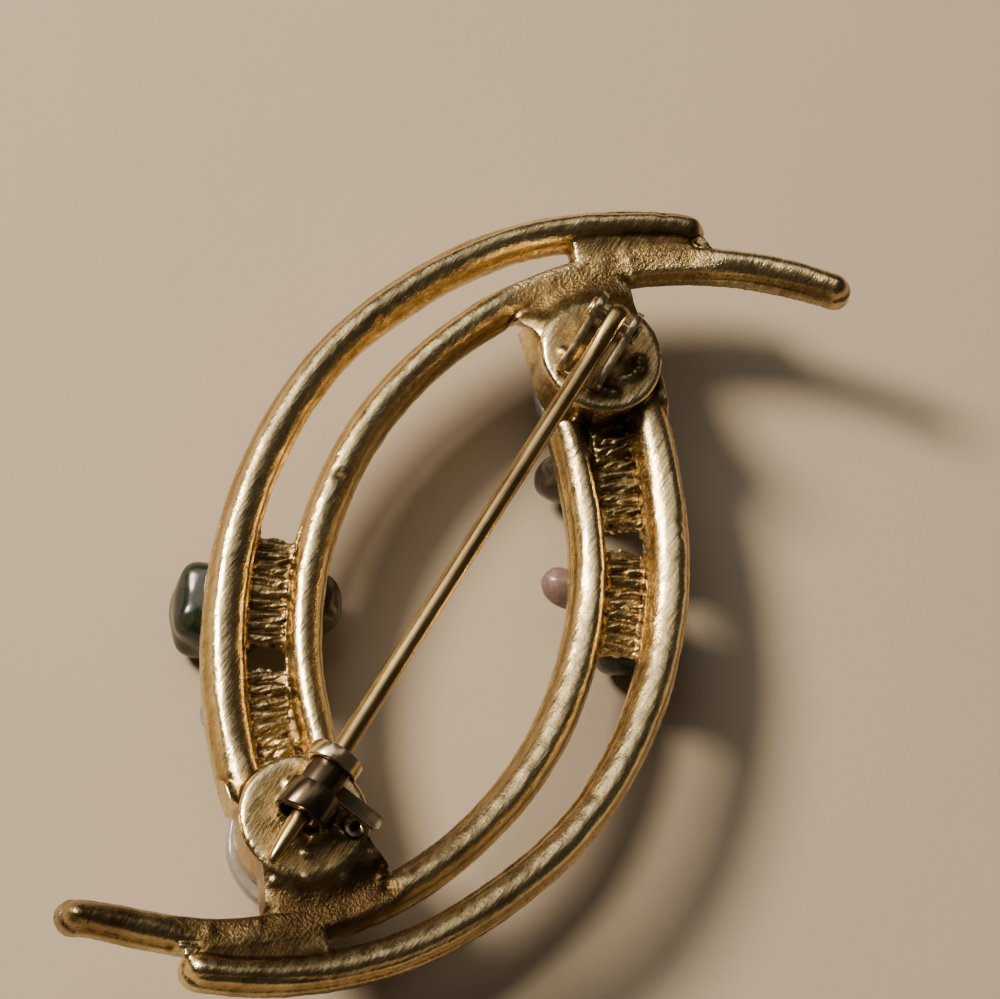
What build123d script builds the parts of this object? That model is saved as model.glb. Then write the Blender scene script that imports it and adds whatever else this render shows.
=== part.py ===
from build123d import *
import math
import os

# Branch brooch lying face down: +Z up, the back of the brooch on top, millimetres.
# The origin is on the surface below the middle of the frame. The frame looks the same
# when it is turned half a turn about Z, so its second half is a turned copy.

# Layout of the frame
reach_long = 33.0          # from the middle to the end of an upper tail's centre line, along Y
reach_wide = 14.75         # from the middle to an outer rod's centre line, along X
frame_level = 6.0          # height of the rods' crease at the middle of the brooch
rise_long = 3.75           # how far the frame curves up at reach_long
rise_wide = 2.0            # how far it curves up at reach_wide

# Rods: a rounded back on a front half that is a little wider
outer_rod_width = 2.6
inner_rod_width = 2.5
rod_ledge = 0.24           # the front half stands out this much on each side
rod_crown = 1.1            # rounded back above the crease
rod_depth = 1.05           # straight flank below the crease
rod_front_bulge = 0.3      # rounded front face below the flank
rod_front_flat = 0.75      # share of the half width that the front face takes
rod_front_turn = 0.4       # share of the bulge where the front face meets its corner
rod_stations = 12          # spans between the sections of one rod

# Bosses with the hinge and the catch
boss_along = 18.75
boss_across = 1.0
boss_radius = 4.0
boss_flare = -0.35         # extra radius at the foot of the boss
boss_rise = 2.4            # pad above the rods' crease
pad_edge = 0.25

# Webs and ribbed bridge plates between the rods
web_above = 0.7
web_below = 0.95
gusset_above = 0.95
gusset_below = 0.5
plate_sunk = 0.55          # top of the ribs below the crease
plate_thick = 0.9
rib_pitch = 0.8
rib_depth = 0.22
plate_half = 1.95          # half of a plate's length across the gap, into both rods
slot_half = 0.85           # half of the open slot between the two plates

# Pin, hinge and safety catch
pin_wire = 1.2
pin_point = 4.0            # length of the taper
pin_shoulder = 0.75        # share of the taper down to its rounded end
pin_shoulder_wire = 0.55   # share of the wire left there
pin_tip_wire = 0.16        # share of the wire left at the tip
pin_length = 43.3          # from the rivet to the tip
pin_lift = 1.9             # pin axis above the pads
pin_turn = 3.46            # the pin's line is turned this much from the Y axis, degrees
rivet_across = -0.55       # the rivet's middle, from the middle of the upper boss
rivet_along = 1.35
rivet_radius = 0.4
rivet_head = 0.75
rivet_head_thick = 0.3
knuckle_radius = 1.15
knuckle_width = 1.3
running_gap = 0.05
side_gap = 0.4             # between the knuckle and each ear
ear_thick = 0.45
ear_radius = 1.35
ear_reach = 4.2            # from the rivet to the low end of an ear
ear_low = 1.3              # height of that low end
ear_shoulder_along = 0.9   # where an ear starts to be round, as shares of its radius
ear_shoulder_up = 0.62
base_thick = 0.45
base_tail = 1.4            # base plate behind the rivet
catch_from_rivet = 37.6    # from the rivet to the middle of the catch
catch_length = 4.5
catch_near_ring = 0.95     # width of the ring next to the hinge
catch_far_ring = 1.8       # width of the ring next to the pin's tip
catch_outer = 1.7
catch_wall = 0.36
catch_mouth_low = -62.0    # the housing is open between these two angles, degrees
catch_mouth_high = 8.0
catch_foot = 1.5           # share of the housing's radius that its foot is wide
catch_window = 0.72        # share of the housing's radius that its window goes down
sleeve_gap = 0.08
sleeve_bore = 0.74
sleeve_slot = 1.42
sleeve_slot_angle = 213.0
lever_reach = 4.5          # from the pin's axis
lever_width = 1.0
lever_thick = 0.38
lever_angle = -16.0
lever_round = 0.35         # share of its width that rounds the lever's corners
eyelet_across = 0.7        # small eyelet on the lower pad, from the boss in shares of its radius
eyelet_along = 0.3125
eyelet_radius = 0.72
eyelet_hole = 0.3
eyelet_thick = 0.4
prong_radius = 0.4         # tiny round prong below the lower left rod
prong_across = -0.617      # its place, as shares of the reaches
prong_along = -0.391
prong_drop = 2.8           # its middle below the rods' crease
prong_neck = 0.6           # share of its radius that its stub has

# Stones on the front, between the rods and the surface
seat_gap = 0.1
stone_gap = 0.05           # between a large domed stone and the small one beside it
cabochon_half_width = 3.65
cabochon_half_length = 4.35
cabochon_height = 5.1
cabochon_turn = 24.8       # its length is turned this much from the Y axis, degrees
cabochon_shift = 0.3       # sideways from the middle of its boss, towards the rods

# Centre lines, as shares of reach_wide and reach_long, from the boss to the free end
outer_route = (
    # across, along
    (-0.14, -0.59),
    (-0.50, -0.43),
    (-0.755, -0.26),
    (-0.915, -0.09),
    (-1.00, 0.094),
    (-1.00, 0.282),
    (-0.90, 0.467),
    (-0.725, 0.642),
    (-0.47, 0.785),
    (-0.088, 0.912),
)
inner_route = (
    # across, along
    (0.03, -0.44),
    (-0.23, -0.327),
    (-0.468, -0.182),
    (-0.624, -0.014),
    (-0.70, 0.17),
    (-0.68, 0.348),
    (-0.576, 0.524),
    (-0.38, 0.688),
    (-0.06, 0.84),
    (0.25, 0.925),
)
upper_tail_end = (0.59, 0.975)
lower_tail_end = (0.43, 0.9725)

# Width of a rod along its route, as shares of its named width
outer_widths = (1.08, 1.10, 1.08, 1.0, 0.94, 0.92, 0.94, 0.93, 0.92, 0.90)
inner_widths = (0.94, 0.95, 0.98, 1.02, 1.0, 0.96, 0.96, 0.96, 0.94, 0.92, 0.86)

# Web between the ends of a pair of rods: across and along of its side on the outer rod,
# then of its side on the inner rod
web_sections = (
    (-0.52, 0.765, -0.37, 0.70),
    (-0.32, 0.84, -0.19, 0.785),
    (-0.105, 0.905, 0.03, 0.868),
)
# Gusset that joins the inner rod to its boss, as shares of the same reaches
gusset_outline = (
    (-0.54, 0.56),
    (-0.34, 0.715),
    (-0.20, 0.78),
    (-0.155, 0.745),
    (-0.05, 0.69),
    (0.00, 0.60),
    (-0.10, 0.50),
    (-0.31, 0.53),
    (-0.455, 0.55),
)
# Middle line of the gap under the ribbed plates
plate_start = (-0.156, -0.521)
plate_slot = (-0.483, -0.319)
plate_end = (-0.725, -0.106)

# Small stones: across and along of the centre as shares of the reaches, then half sizes
# along its own length, across it and upwards, the turn of its length from X, its rest and
# how round its edges are, as a share of its smallest half size
small_stones = (
    # name, across, along, half_length, half_width, half_height, turn, bottom, roundness
    ("stone_green", -0.759, -0.249, 2.85, 3.0, 3.1, 117.0, 0.0, 0.75),
    ("stone_olive", -0.472, -0.132, 2.2, 2.05, 2.3, 40.0, 0.7, 0.92),
    ("stone_lilac", -0.455, -0.400, 2.25, 2.0, 2.3, 120.0, 0.75, 0.85),
    ("stone_dark_green", 0.742, 0.212, 3.1, 2.5, 3.1, 65.0, 0.0, 0.95),
    ("stone_pink", 0.402, 0.201, 2.1, 1.3, 1.35, 12.0, 2.1, 0.97),
)
# Black stone at the end of the upper domed stone, lying across that stone's length
black_half_length = 2.25
black_half_width = 1.6
black_half_height = 2.4
black_bottom = 0.7
black_roundness = 0.9


def level_at(x, y):
    """Height of the rods' crease above the surface."""
    return frame_level + rise_long * (y / reach_long) ** 2 + rise_wide * (x / reach_wide) ** 2


def on_frame(across, along, above=0.0):
    x = across * reach_wide
    y = along * reach_long
    return Vector(x, y, level_at(x, y) + above)


def rod_half_outline(width):
    """Right half of a rod's section, from the foot of its axis to the crown."""
    half = width / 2
    crest = half - rod_ledge
    turn = (half * rod_front_flat, -rod_depth - rod_front_bulge * rod_front_turn)
    front = Line((0, -rod_depth - rod_front_bulge), turn)
    corner = Line(front @ 1, (half, -rod_depth))
    flank = Line(corner @ 1, (half, -rod_ledge / 2))
    ledge = Line(flank @ 1, (crest, 0))
    middle = (crest * math.sqrt(0.5), rod_crown * math.sqrt(0.5))
    crown = ThreePointArc(ledge @ 1, middle, (0, rod_crown))
    return front + corner + flank + ledge + crown


def rod_section(width):
    right = rod_half_outline(width)
    left = mirror(right, about=Plane.YZ)
    return make_face(right + left)


def rod_nose_profile(width):
    right = rod_half_outline(width)
    axis_side = Line((0, rod_crown), (0, -rod_depth - rod_front_bulge))
    return make_face(right + axis_side)


def width_along(shares, position):
    """Share of the width at a position from 0 to 1, read between the table's rows."""
    spans = len(shares) - 1
    place = min(position * spans, spans - 1e-9)
    row = int(place)
    return shares[row] + (shares[row + 1] - shares[row]) * (place - row)


def rod(route, width, shares):
    """A rod lofted along its route, with a round nose at its free end."""
    path = Spline(*[on_frame(across, along) for across, along in route])
    sections = []
    for station in range(rod_stations + 1):
        position = station / rod_stations
        heading = path.tangent_at(position)
        left = Vector(-heading.Y, heading.X, 0).normalized()
        section_plane = Plane(origin=path.position_at(position), x_dir=left, z_dir=heading)
        sections.append(section_plane * rod_section(width * width_along(shares, position)))
    bar = loft(sections)
    nose_profile = section_plane * rod_nose_profile(width * shares[-1])
    nose_axis = Axis(section_plane.origin, section_plane.y_dir * -1)
    nose = revolve(nose_profile, nose_axis, 180)
    return bar + nose


def web():
    """Slab that joins the ends of an outer and an inner rod."""
    slices = []
    for outer_x, outer_y, inner_x, inner_y in web_sections:
        corners = [
            on_frame(outer_x, outer_y, web_above),
            on_frame(inner_x, inner_y, web_above),
            on_frame(inner_x, inner_y, -web_below),
            on_frame(outer_x, outer_y, -web_below),
        ]
        slices.append(make_face(Polyline(*corners, close=True)))
    return loft(slices, ruled=True)


def gusset():
    """Metal that fills the corner between the inner rod and its boss."""
    top = level_at(boss_across, boss_along) + gusset_above
    bottom = level_at(boss_across, boss_along) - gusset_below
    outline = [(across * reach_wide, along * reach_long) for across, along in gusset_outline]
    face = make_face(Polyline(*outline, close=True))
    return extrude(Pos(0, 0, bottom) * face, top - bottom)


def ribbed_plate(start, end):
    """Sunk plate whose ribs run across the gap, from start to end along the gap."""
    run = math.hypot(end.X - start.X, end.Y - start.Y)
    heading = Vector(end.X - start.X, end.Y - start.Y, 0).normalized()
    count = max(2, round(run / rib_pitch))
    top = []
    for rib in range(count):
        for share, drop in ((0.0, rib_depth), (0.35, 0.0), (0.65, 0.0)):
            distance = (rib + share) * run / count
            x = start.X + heading.X * distance
            y = start.Y + heading.Y * distance
            top.append((distance, level_at(x, y) - plate_sunk - drop))
    top.append((run, level_at(end.X, end.Y) - plate_sunk - rib_depth))
    low_start = level_at(start.X, start.Y) - plate_sunk - plate_thick
    low_end = level_at(end.X, end.Y) - plate_sunk - plate_thick
    outline = top + [(run, low_end), (0, low_start)]
    side_plane = Plane(origin=(start.X, start.Y, 0), x_dir=heading, z_dir=heading.cross(Vector(0, 0, 1)))
    face = side_plane * make_face(Polyline(*outline, close=True))
    return extrude(face, plate_half, both=True)


def boss():
    """Round boss under a pad, with its wall down to the cabochon."""
    pad = pad_level()
    foot = cabochon_height + seat_gap
    profile = make_face(
        Polyline(
            (0, foot),
            (boss_radius + boss_flare, foot),
            (boss_radius, pad - pad_edge),
            (boss_radius - pad_edge, pad),
            (0, pad),
            close=True,
        )
    )
    cup = revolve(Plane.XZ * profile, Axis.Z)
    return Pos(-boss_across, boss_along, 0) * cup


def pad_level():
    return level_at(boss_across, boss_along) + boss_rise


def upper_half_frame(tail_end):
    """The rods' free ends, web, gusset and boss at the upper end, and the plates below."""
    outer = rod(outer_route, outer_rod_width, outer_widths)
    inner = rod(inner_route + (tail_end,), inner_rod_width, inner_widths)
    slot_middle = on_frame(*plate_slot)
    first = on_frame(*plate_start)
    last = on_frame(*plate_end)
    back = (first - slot_middle).normalized() * slot_half
    ahead = (last - slot_middle).normalized() * slot_half
    metal = outer + inner
    for piece in (
        web(),
        gusset(),
        boss(),
        ribbed_plate(first, slot_middle + back),
        ribbed_plate(slot_middle + ahead, last),
    ):
        metal = metal + piece
    return metal


def finding_place():
    """Where the pin's line starts: at the rivet, with -Y along the pin towards its tip."""
    rivet_x = rivet_across - boss_across
    rivet_y = rivet_along + boss_along
    return Pos(rivet_x, rivet_y, pad_level() + pin_lift) * Rot(0, 0, pin_turn)


def hinge_ears():
    """Two ears on a base plate with a closed back, with the rivet's hole through them."""
    inner_face = knuckle_width / 2 + side_gap
    side = Polyline(
        (-ear_reach, -pin_lift),
        (-ear_reach, -pin_lift + ear_low),
        (-ear_radius * ear_shoulder_along, ear_radius * ear_shoulder_up),
    )
    top = ThreePointArc(side @ 1, (0, ear_radius), (ear_radius, 0))
    back = Line(top @ 1, (ear_radius, -pin_lift))
    foot = Line(back @ 1, side @ 0)
    ear_face = make_face(side + top + back + foot)
    half = inner_face + ear_thick
    hole = Cylinder(rivet_radius + running_gap, 4 * half, rotation=(0, 90, 0))
    ears = None
    for sign in (-1, 1):
        middle = sign * (inner_face + ear_thick / 2)
        ear_plane = Plane(origin=(middle, 0, 0), x_dir=(0, 1, 0), z_dir=(1, 0, 0))
        ear = extrude(ear_plane * ear_face, ear_thick / 2, both=True)
        ears = ear if ears is None else ears + ear
    plate = Pos(0, (base_tail - ear_reach) / 2, -pin_lift + base_thick / 2 - running_gap) * Box(
        2 * half, base_tail + ear_reach, base_thick
    )
    return ears + plate - hole


def catch_housing():
    """Two rings joined by a foot: a tube cut open at its side, with a window in the middle."""
    tube = Cylinder(catch_outer, catch_length, rotation=(90, 0, 0))
    foot_drop = pin_lift - catch_outer / 2
    foot = Pos(0, 0, -catch_outer / 2 - foot_drop / 2) * Box(
        catch_outer * catch_foot, catch_length, foot_drop
    )
    bore = Cylinder(catch_outer - catch_wall, 2 * catch_length, rotation=(90, 0, 0))
    body = tube + foot - bore
    body = body - mouth(catch_length * 2)
    window_bottom = -catch_outer * catch_window
    window_top = catch_outer * 2
    window_length = catch_length - catch_near_ring - catch_far_ring
    window = Pos(0, window_middle(), (window_bottom + window_top) / 2) * Box(
        catch_outer * 3, window_length, window_top - window_bottom
    )
    return body - window


def window_middle():
    return (catch_far_ring - catch_near_ring) / 2


def mouth(length):
    """Wedge between the two angles of the housing's opening."""
    far = catch_outer * 3
    low = math.radians(catch_mouth_low)
    high = math.radians(catch_mouth_high)
    middle = (low + high) / 2
    outline = [
        (0, 0),
        (far * math.cos(low), far * math.sin(low)),
        (far * math.cos(middle), far * math.sin(middle)),
        (far * math.cos(high), far * math.sin(high)),
    ]
    wedge = extrude(make_face(Polyline(*outline, close=True)), length / 2, both=True)
    return Rot(90, 0, 0) * wedge


def catch_sleeve():
    """Turning sleeve round the pin, slotted for it, with a lever to turn it by."""
    outer = catch_outer - catch_wall - sleeve_gap
    sleeve = Cylinder(outer, catch_length - 2 * sleeve_gap, rotation=(90, 0, 0))
    sleeve = sleeve - Cylinder(sleeve_bore, 2 * catch_length, rotation=(90, 0, 0))
    slot = Pos(outer, 0, 0) * Box(2 * outer, 2 * catch_length, sleeve_slot)
    sleeve = sleeve - Rot(0, -sleeve_slot_angle, 0) * slot
    inner_end = (outer + sleeve_bore) / 2
    lever = Pos((lever_reach + inner_end) / 2, 0, 0) * Box(
        lever_reach - inner_end, lever_width, lever_thick
    )
    free_corners = lever.edges().filter_by(Axis.Z).group_by(Axis.X)[-1]
    lever = fillet(free_corners, lever_width * lever_round)
    lever = Pos(0, window_middle(), 0) * Rot(0, -lever_angle, 0) * lever
    return sleeve + lever


def pin_stem():
    """Straight round stem with a point, hung on the rivet by its knuckle."""
    radius = pin_wire / 2
    knuckle = Cylinder(knuckle_radius, knuckle_width, rotation=(0, 90, 0))
    shaft = pin_length - pin_point
    profile = make_face(
        Polyline(
            (0, 0),
            (radius, 0),
            (radius, shaft),
            (radius * pin_shoulder_wire, shaft + pin_point * pin_shoulder),
            (radius * pin_tip_wire, pin_length),
            (0, pin_length),
            close=True,
        )
    )
    stem = Rot(180, 0, 0) * revolve(profile, Axis.Y)
    hole = Cylinder(rivet_radius + running_gap, 2 * knuckle_width, rotation=(0, 90, 0))
    return knuckle + stem - hole


def hinge_rivet():
    ears_outside = knuckle_width / 2 + side_gap + ear_thick + running_gap
    shaft = Cylinder(rivet_radius, 2 * ears_outside, rotation=(0, 90, 0))
    for sign in (-1, 1):
        middle = sign * (ears_outside + rivet_head_thick / 2)
        shaft = shaft + Pos(middle, 0, 0) * Cylinder(rivet_head, rivet_head_thick, rotation=(0, 90, 0))
    return shaft


def cabochon():
    """Oval domed stone, flat on its back and resting on its dome."""
    egg = scale(Sphere(1), by=(cabochon_half_width, cabochon_half_length, cabochon_height))
    above = Pos(0, 0, cabochon_height) * Box(
        4 * cabochon_half_length, 4 * cabochon_half_length, 2 * cabochon_height
    )
    return Pos(0, 0, cabochon_height) * (egg - above)


def small_stone(x, y, half_length, half_width, half_height, turn, bottom, roundness):
    """Tumbled stone with a flat seat just below the rods' front faces."""
    block = Box(2 * half_length, 2 * half_width, 2 * half_height)
    pebble = fillet(block.edges(), roundness * min(half_length, half_width, half_height))
    pebble = Pos(x, y, bottom + half_height) * Rot(0, 0, turn) * pebble
    near = 1 - half_length / math.hypot(x, y)
    metal_depth = max(rod_depth + rod_front_bulge, plate_sunk + plate_thick)
    seat_level = level_at(x * near, y * near) - metal_depth - seat_gap
    above = Pos(x, y, seat_level + half_height) * Box(
        4 * half_length, 4 * half_length, 2 * half_height
    )
    return pebble - above


def black_stone():
    x, y, _ = (cabochon_place() * Pos(0, -cabochon_half_length - black_half_width - stone_gap, 0)).position
    return small_stone(
        x,
        y,
        black_half_length,
        black_half_width,
        black_half_height,
        cabochon_turn,
        black_bottom,
        black_roundness,
    )


def cabochon_place():
    """Where the upper domed stone rests, with its length along the local Y axis."""
    boss_middle = Pos(-boss_across, boss_along, 0)
    return boss_middle * Rot(0, 0, cabochon_turn) * Pos(cabochon_shift, 0, 0)


def eyelet():
    """Small flat ring on the lower pad beside the catch."""
    ring = Cylinder(eyelet_radius, eyelet_thick) - Cylinder(eyelet_hole, eyelet_thick)
    x = boss_across + eyelet_across * boss_radius
    y = -boss_along + eyelet_along * boss_radius
    return Pos(x, y, pad_level() + eyelet_thick / 2 - running_gap) * ring


def prong():
    """Tiny ball on a stub at the edge of the lower left outer rod."""
    x = prong_across * reach_wide
    y = prong_along * reach_long
    top = level_at(x, y) - rod_depth / 2
    middle = level_at(x, y) - prong_drop
    ball = Pos(x, y, middle) * Sphere(prong_radius)
    stub = Pos(x, y, (top + middle) / 2) * Cylinder(prong_radius * prong_neck, top - middle)
    return ball + stub


def build():
    half_turn = Rot(0, 0, 180)
    metal = upper_half_frame(upper_tail_end) + half_turn * upper_half_frame(lower_tail_end)
    place = finding_place()
    metal = metal + place * hinge_ears() + eyelet() + prong()
    catch_place = place * Pos(0, -catch_from_rivet, 0)
    metal = metal + catch_place * catch_housing()
    parts = {
        "frame": metal,
        "pin_stem": place * pin_stem(),
        "hinge_rivet": place * hinge_rivet(),
        "catch_sleeve": catch_place * catch_sleeve(),
    }
    parts["cabochon_upper"] = cabochon_place() * cabochon()
    parts["cabochon_lower"] = half_turn * cabochon_place() * cabochon()
    for name, across, along, *sizes in small_stones:
        parts[name] = small_stone(across * reach_wide, along * reach_long, *sizes)
    parts["stone_black"] = black_stone()
    return parts


os.makedirs("parts", exist_ok=True)
for node, shape in build().items():
    export_step(shape, "parts/" + node + ".step")
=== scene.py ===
import math
import bpy
import bmesh
import numpy as np
from mathutils import Matrix, Vector, noise


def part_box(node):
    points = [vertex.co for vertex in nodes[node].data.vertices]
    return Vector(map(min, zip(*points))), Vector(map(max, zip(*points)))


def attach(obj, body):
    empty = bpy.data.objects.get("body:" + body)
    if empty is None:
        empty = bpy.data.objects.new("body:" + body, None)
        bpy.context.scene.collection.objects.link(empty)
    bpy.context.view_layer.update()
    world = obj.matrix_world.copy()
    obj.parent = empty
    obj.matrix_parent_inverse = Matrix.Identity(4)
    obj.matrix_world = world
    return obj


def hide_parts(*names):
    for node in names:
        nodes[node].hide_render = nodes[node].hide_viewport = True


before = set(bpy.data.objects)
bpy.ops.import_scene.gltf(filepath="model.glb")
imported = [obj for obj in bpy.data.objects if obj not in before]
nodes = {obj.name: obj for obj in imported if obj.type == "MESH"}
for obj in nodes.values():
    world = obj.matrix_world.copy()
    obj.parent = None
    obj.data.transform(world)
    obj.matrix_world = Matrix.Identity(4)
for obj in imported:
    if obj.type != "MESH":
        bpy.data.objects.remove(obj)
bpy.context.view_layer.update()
mm = 0.001  # the meshes are worked on in millimetres and end in metres

# Where the findings sit, in millimetres of the shared frame
place = {
    "padLevel": 9.62,  # back of the two round bosses
    "upperPad": (-1.0, 18.75),
    "lowerPad": (1.0, -18.75),
    "padReach": 5.2,  # the findings lie within this of a pad's middle
    "cutAbove": 0.02,  # and are parted from the cast metal this far above the pad
    "rivet": (-1.55, 20.1, 11.52),
    "pinTurn": 3.46,  # degrees between the pin's line and the Y axis
}


def pinFrame():
    # X runs along the rivet and -Y along the pin to its tip
    turn = Matrix.Rotation(math.radians(place["pinTurn"]), 4, "Z")
    return Matrix.Translation(place["rivet"]) @ turn


# Meshes


def meshFromNode(name):
    bm = bmesh.new()
    bm.from_mesh(nodes[name].data)
    bmesh.ops.scale(bm, vec=(1 / mm,) * 3, verts=bm.verts)
    bmesh.ops.remove_doubles(bm, verts=bm.verts, dist=0.0005)
    bmesh.ops.recalc_face_normals(bm, faces=bm.faces)
    return bm


def addObject(name, bm):
    mesh = bpy.data.meshes.new(name)
    bm.to_mesh(mesh)
    bm.free()
    made = bpy.data.objects.new(name, mesh)
    bpy.context.collection.objects.link(made)
    return made


def applyModifiers(obj):
    shape = obj.evaluated_get(bpy.context.evaluated_depsgraph_get())
    mesh = bpy.data.meshes.new_from_object(shape)
    obj.modifiers.clear()
    old = obj.data
    obj.data = mesh
    bpy.data.meshes.remove(old)


def remesh(obj, voxel):
    modifier = obj.modifiers.new("remesh", "REMESH")
    modifier.mode = "VOXEL"
    modifier.voxel_size = voxel
    applyModifiers(obj)


def finishPiece(obj, body, material, replaced=()):
    obj.data.transform(Matrix.Scale(mm, 4))
    obj.data.shade_smooth()
    obj.data.materials.clear()
    obj.data.materials.append(material)
    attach(obj, body)
    if replaced:
        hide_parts(*replaced)
    return obj


def pointsOf(mesh):
    flat = np.empty(len(mesh.vertices) * 3)
    mesh.vertices.foreach_get("co", flat)
    return flat.reshape(-1, 3)


def normalsOf(mesh):
    flat = np.empty(len(mesh.vertices) * 3)
    mesh.vertices.foreach_get("normal", flat)
    return flat.reshape(-1, 3)


def setPoints(mesh, points):
    mesh.vertices.foreach_set("co", points.ravel())
    mesh.update()


def neighbourMeans(mesh):
    # gives a function that averages a value over each point's neighbours
    ends = np.empty(len(mesh.edges) * 2, dtype=np.int64)
    mesh.edges.foreach_get("vertices", ends)
    first, second = ends.reshape(-1, 2).T
    total = len(mesh.vertices)
    count = np.bincount(first, minlength=total) + np.bincount(second, minlength=total)
    count = np.maximum(count, 1)

    def mean(values):
        columns = values.reshape(total, -1).T
        sums = [
            np.bincount(first, column[second], total) + np.bincount(second, column[first], total)
            for column in columns
        ]
        return (np.array(sums) / count).T.reshape(values.shape)

    return mean


def noiseAt(points, scale, shift=0.0):
    offset = Vector((shift, shift * 0.7, -shift))
    return np.array([noise.noise(Vector(p) * scale + offset) for p in points])


def storeValue(mesh, name, values):
    attribute = mesh.attributes.new(name, "FLOAT", "POINT")
    attribute.data.foreach_set("value", values.astype(np.float32))


# Shading


def addNode(tree, kind, **settings):
    made = tree.nodes.new(kind)
    for key, value in settings.items():
        setattr(made, key, value)
    return made


def feed(tree, socket, source):
    if isinstance(source, bpy.types.NodeSocket):
        tree.links.new(source, socket)
    else:
        socket.default_value = source


def addMath(tree, operation, first, second=0.0):
    made = addNode(tree, "ShaderNodeMath", operation=operation)
    feed(tree, made.inputs[0], first)
    feed(tree, made.inputs[1], second)
    return made.outputs[0]


def addMix(tree, factor, first, second):
    made = addNode(tree, "ShaderNodeMix", data_type="RGBA")
    feed(tree, made.inputs["Factor"], factor)
    feed(tree, made.inputs[6], first)
    feed(tree, made.inputs[7], second)
    return made.outputs[2]


def addRange(tree, value, low, high, start=0.0, end=1.0):
    made = addNode(tree, "ShaderNodeMapRange", clamp=True)
    for index, source in enumerate((value, low, high, start, end)):
        feed(tree, made.inputs[index], source)
    return made.outputs[0]


def newGroup(name, inputs, outputs):
    tree = bpy.data.node_groups.new(name, "ShaderNodeTree")
    for label, kind, value in inputs:
        socket = tree.interface.new_socket(label, in_out="INPUT", socket_type=kind)
        socket.default_value = value
    for label, kind in outputs:
        tree.interface.new_socket(label, in_out="OUTPUT", socket_type=kind)
    return tree, addNode(tree, "NodeGroupInput").outputs, addNode(tree, "NodeGroupOutput").inputs


def useGroup(tree, group, **values):
    made = addNode(tree, "ShaderNodeGroup", node_tree=group)
    for label, value in values.items():
        feed(tree, made.inputs[label], value)
    return made.outputs


def addNoise(tree, vector, scale, detail=3.0, roughness=0.5, distortion=0.0):
    made = addNode(tree, "ShaderNodeTexNoise")
    feed(tree, made.inputs["Vector"], vector)
    feed(tree, made.inputs["Scale"], scale)
    feed(tree, made.inputs["Detail"], detail)
    feed(tree, made.inputs["Roughness"], roughness)
    feed(tree, made.inputs["Distortion"], distortion)
    return made.outputs[0]


def makeStreaks():
    # fine marks drawn out in one direction, such as brush and file marks
    tree, given, result = newGroup(
        "streaks",
        [
            ("Turn", "NodeSocketVector", (0, 0, 0)),
            ("Fineness", "NodeSocketFloat", 9000.0),
            ("Stretch", "NodeSocketVector", (1, 0.12, 1)),
        ],
        [("Height", "NodeSocketFloat"), ("Shade", "NodeSocketFloat")],
    )
    where = addNode(tree, "ShaderNodeTexCoord").outputs["Object"]
    mapping = addNode(tree, "ShaderNodeMapping")
    feed(tree, mapping.inputs["Vector"], where)
    feed(tree, mapping.inputs["Rotation"], given["Turn"])
    feed(tree, mapping.inputs["Scale"], given["Stretch"])
    fine = addNoise(tree, mapping.outputs[0], given["Fineness"], 4.0, 0.6)
    coarse = addNoise(tree, mapping.outputs[0], addMath(tree, "MULTIPLY", given["Fineness"], 0.3), 2.0)
    both = addMath(tree, "ADD", addMath(tree, "MULTIPLY", fine, 0.6), addMath(tree, "MULTIPLY", coarse, 0.4))
    feed(tree, result["Height"], both)
    feed(tree, result["Shade"], addRange(tree, both, 0.38, 0.62))
    return tree


def makePatches():
    # cloudy patches, such as tarnish and colour clouds
    tree, given, result = newGroup(
        "patches",
        [
            ("Fineness", "NodeSocketFloat", 400.0),
            ("Low", "NodeSocketFloat", 0.45),
            ("High", "NodeSocketFloat", 0.65),
            ("Swirl", "NodeSocketFloat", 0.3),
        ],
        [("Mask", "NodeSocketFloat")],
    )
    where = addNode(tree, "ShaderNodeTexCoord").outputs["Object"]
    cloud = addNoise(tree, where, given["Fineness"], 5.0, 0.58, given["Swirl"])
    feed(tree, result["Mask"], addRange(tree, cloud, given["Low"], given["High"]))
    return tree


streaks = makeStreaks()
patches = makePatches()


def newMaterial(name, **constants):
    material = bpy.data.materials.new(name)
    material.use_nodes = True
    tree = material.node_tree
    shader = tree.nodes["Principled BSDF"]
    for label, value in constants.items():
        shader.inputs[label.replace("_", " ")].default_value = value
    return material, tree, shader


def addBump(tree, shader, height, distance):
    bump = addNode(tree, "ShaderNodeBump")
    bump.inputs["Distance"].default_value = distance * mm
    bump.inputs["Strength"].default_value = 1.0
    feed(tree, bump.inputs["Height"], height)
    feed(tree, shader.inputs["Normal"], bump.outputs[0])


castFinish = {
    "gold": (0.57, 0.39, 0.145, 1),
    "worn": (0.91, 0.71, 0.36, 1),
    # dark colour of brush lines, dirt and tarnish, also used as painted shade
    "tarnishAndShadeColour": (0.085, 0.048, 0.018, 1),
    # colour of the painted shade on the catch's far ring and sleeve barrel
    "paintedShade": (0.055, 0.037, 0.025, 1),
    "hollow": (0.04, 0.5),  # cavity of a hollow, from clean to full of dirt
    "ridge": (-0.04, -0.45),  # cavity of an edge, from plain to worn bright
    "cloudDirt": 0.26,
    # the darkened places are partly real tarnish and partly painted shade
    "tarnishAndShadeShare": 0.75,
    "filedDirt": 0.32,
    "filedClouds": 0.35,
    "mostDirtAndShade": 0.95,
    "lines": 0.35,  # how dark the brush marks are
    "roughness": 0.17,
    "markedRougher": 0.12,
    "dirtyRougher": 0.12,
    "filedRougher": 0.05,
    "grain": 0.14,  # height of the fine pits beside the brush marks
    "filedGrain": 0.5,
    "marks": 0.045,  # depth of the brush marks in mm
}


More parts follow.
